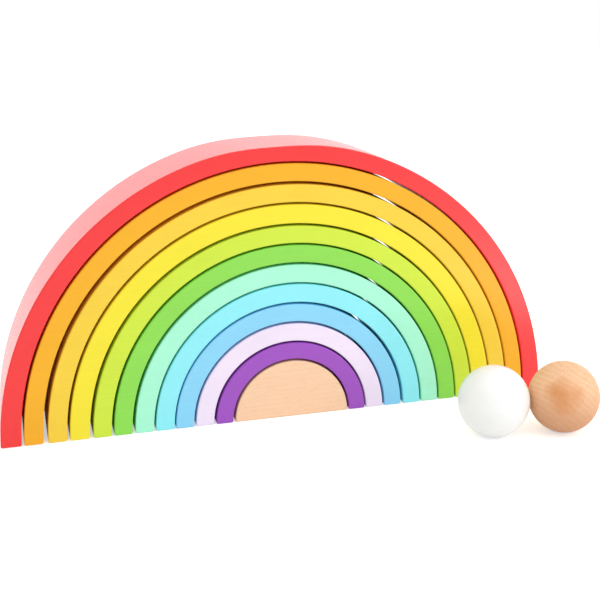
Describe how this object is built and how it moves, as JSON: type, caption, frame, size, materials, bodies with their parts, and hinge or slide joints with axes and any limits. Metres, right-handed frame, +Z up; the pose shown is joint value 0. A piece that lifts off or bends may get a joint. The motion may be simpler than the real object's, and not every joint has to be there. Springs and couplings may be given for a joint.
{
  "type": "nesting rainbow block set",
  "caption": "Nesting rainbow toy: painted wooden arches that stand one inside the other around a bare half-round block, with a painted ball and a plain ball lying in front",
  "frame": {"origin": "on the floor, in the middle of the flat base of the half-round core", "axes": "+X along the row of feet, to the right seen from the front; +Y from the front faces to the back faces; +Z up"},
  "size_m": [0.3632, 0.154, 0.178],
  "materials": {
    "core_wood": "sanded smooth, no paint, matt",
    "purple_paint": "satin purple paint on sanded wood",
    "lilac_paint": "satin lilac paint on sanded wood",
    "blue_paint": "satin blue paint on sanded wood",
    "cyan_paint": "satin cyan paint on sanded wood",
    "mint_paint": "satin mint paint on sanded wood",
    "green_paint": "satin green paint on sanded wood",
    "lime_paint": "satin lime paint on sanded wood",
    "yellow_paint": "satin yellow paint on sanded wood",
    "amber_paint": "satin amber paint on sanded wood",
    "orange_paint": "satin orange paint on sanded wood",
    "red_paint": "satin red paint on sanded wood",
    "white_paint": "satin white paint on turned wood",
    "ball_wood": "turned and sanded, no paint, matt"
  },
  "bodies": {
    "half_round_core": {"half_round_core": "core_wood"},
    "purple_arch": {"purple_arch": "purple_paint"},
    "lilac_arch": {"lilac_arch": "lilac_paint"},
    "blue_arch": {"blue_arch": "blue_paint"},
    "cyan_arch": {"cyan_arch": "cyan_paint"},
    "mint_arch": {"mint_arch": "mint_paint"},
    "green_arch": {"green_arch": "green_paint"},
    "lime_arch": {"lime_arch": "lime_paint"},
    "yellow_arch": {"yellow_arch": "yellow_paint"},
    "amber_arch": {"amber_arch": "amber_paint"},
    "orange_arch": {"orange_arch": "orange_paint"},
    "red_arch": {"red_arch": "red_paint"},
    "white_ball": {"white_ball": "white_paint"},
    "plain_ball": {"plain_ball": "ball_wood"}
  },
  "joints": [
    {"name": "purple_slide", "type": "slide", "parent": "half_round_core", "child": "purple_arch", "axis": [0, -1, 0], "range_m": [-0.062, 0.062]},
    {"name": "lilac_slide", "type": "slide", "parent": "half_round_core", "child": "lilac_arch", "axis": [0, -1, 0], "range_m": [-0.062, 0.062]},
    {"name": "blue_slide", "type": "slide", "parent": "half_round_core", "child": "blue_arch", "axis": [0, -1, 0], "range_m": [-0.062, 0.062]},
    {"name": "cyan_slide", "type": "slide", "parent": "half_round_core", "child": "cyan_arch", "axis": [0, -1, 0], "range_m": [-0.062, 0.062]},
    {"name": "mint_slide", "type": "slide", "parent": "half_round_core", "child": "mint_arch", "axis": [0, -1, 0], "range_m": [-0.062, 0.04]},
    {"name": "green_slide", "type": "slide", "parent": "half_round_core", "child": "green_arch", "axis": [0, -1, 0], "range_m": [-0.062, 0.04]},
    {"name": "lime_slide", "type": "slide", "parent": "half_round_core", "child": "lime_arch", "axis": [0, -1, 0], "range_m": [-0.062, 0.04]},
    {"name": "yellow_slide", "type": "slide", "parent": "half_round_core", "child": "yellow_arch", "axis": [0, -1, 0], "range_m": [-0.062, 0.04]},
    {"name": "amber_slide", "type": "slide", "parent": "half_round_core", "child": "amber_arch", "axis": [0, -1, 0], "range_m": [-0.062, 0.04]},
    {"name": "orange_slide", "type": "slide", "parent": "half_round_core", "child": "orange_arch", "axis": [0, -1, 0], "range_m": [-0.062, 0.04]},
    {"name": "red_slide", "type": "slide", "parent": "half_round_core", "child": "red_arch", "axis": [0, -1, 0], "range_m": [-0.062, 0.04]},
    {"name": "white_ball_roll_way", "type": "slide", "parent": "half_round_core", "child": "white_ball", "axis": [0, -1, 0], "range_m": [0, 0.141]},
    {"name": "plain_ball_roll_way", "type": "slide", "parent": "half_round_core", "child": "plain_ball", "axis": [0, -1, 0], "range_m": [0, 0.141]}
  ]
}
